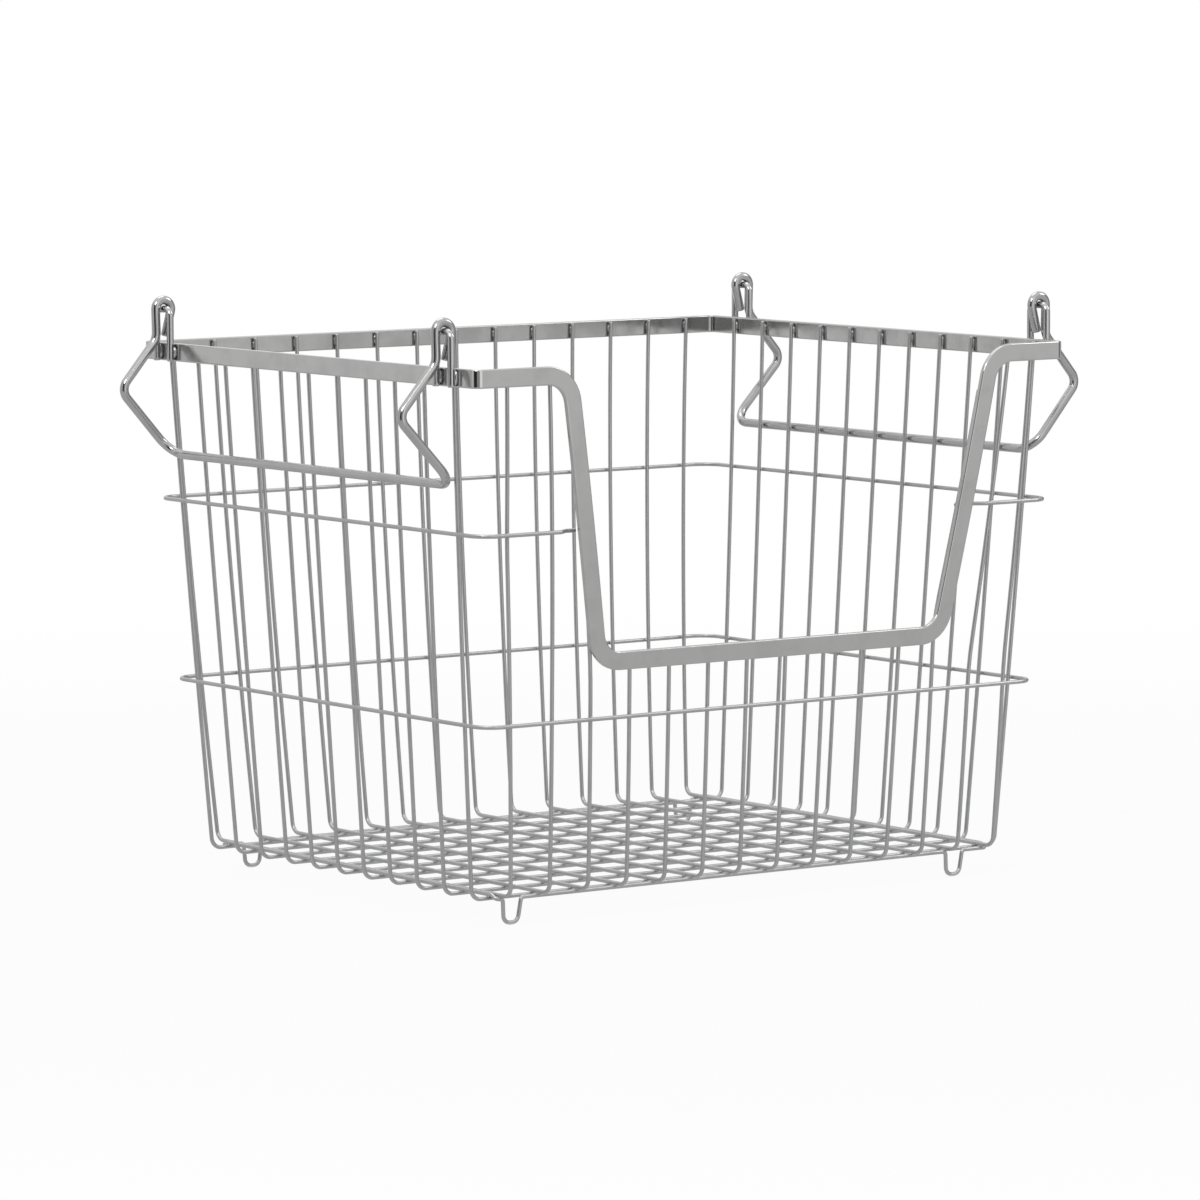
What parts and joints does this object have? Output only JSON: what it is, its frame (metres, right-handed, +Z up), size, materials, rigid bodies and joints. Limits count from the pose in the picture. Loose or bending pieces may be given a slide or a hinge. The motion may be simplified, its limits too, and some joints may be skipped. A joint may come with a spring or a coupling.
{
  "type": "storage basket",
  "caption": "Chrome wire storage basket with a flat-bar rim, a low front opening for reaching in, fold-down bail handles on both ends and small wire-loop feet",
  "frame": {"origin": "on the ground under the middle of the basket", "axes": "+X along the longer sides to the right, +Y to the rear, away from the low front opening, +Z up"},
  "size_m": [0.4626, 0.3254, 0.3253],
  "materials": {
    "rim_bar": "bright chrome plating on flat steel bar, smooth, with faint drawing lines and small weld discolouration",
    "basket_wire": "bright chrome plating on round steel wire",
    "staple_wire": "bright chrome plating on round steel wire",
    "handle_wire": "bright chrome plating on thick round steel wire"
  },
  "bodies": {
    "basket": {"rim": "rim_bar", "front_rear_wire_01": "basket_wire", "front_rear_wire_02": "basket_wire", "front_rear_wire_03": "basket_wire", "front_rear_wire_04": "basket_wire", "front_rear_wire_05": "basket_wire", "front_rear_wire_06": "basket_wire", "front_rear_wire_07": "basket_wire", "front_rear_wire_08": "basket_wire", "front_rear_wire_09": "basket_wire", "front_rear_wire_10": "basket_wire", "front_rear_wire_11": "basket_wire", "front_rear_wire_12": "basket_wire", "front_rear_wire_13": "basket_wire", "front_rear_wire_14": "basket_wire", "left_right_wire_01": "basket_wire", "left_right_wire_02": "basket_wire", "left_right_wire_03": "basket_wire", "left_right_wire_04": "basket_wire", "left_right_wire_05": "basket_wire", "left_right_wire_06": "basket_wire", "left_right_wire_07": "basket_wire", "left_right_wire_08": "basket_wire", "left_right_wire_09": "basket_wire", "left_right_wire_10": "basket_wire", "left_right_wire_11": "basket_wire", "upper_ring": "basket_wire", "lower_ring": "basket_wire", "base_ring": "basket_wire", "staple_left_front": "staple_wire", "staple_left_rear": "staple_wire", "staple_right_front": "staple_wire", "staple_right_rear": "staple_wire"},
    "left_handle": {"left_handle": "handle_wire"},
    "right_handle": {"right_handle": "handle_wire"}
  },
  "joints": [
    {"name": "left_handle_hinge", "type": "hinge", "parent": "basket", "child": "left_handle", "pos_m": [-0.2023, 0, 0.3176], "axis": [0, 1, 0], "range_deg": [0, 290]},
    {"name": "right_handle_hinge", "type": "hinge", "parent": "basket", "child": "right_handle", "pos_m": [0.2023, 0, 0.3176], "axis": [0, -1, 0], "range_deg": [0, 290]}
  ]
}
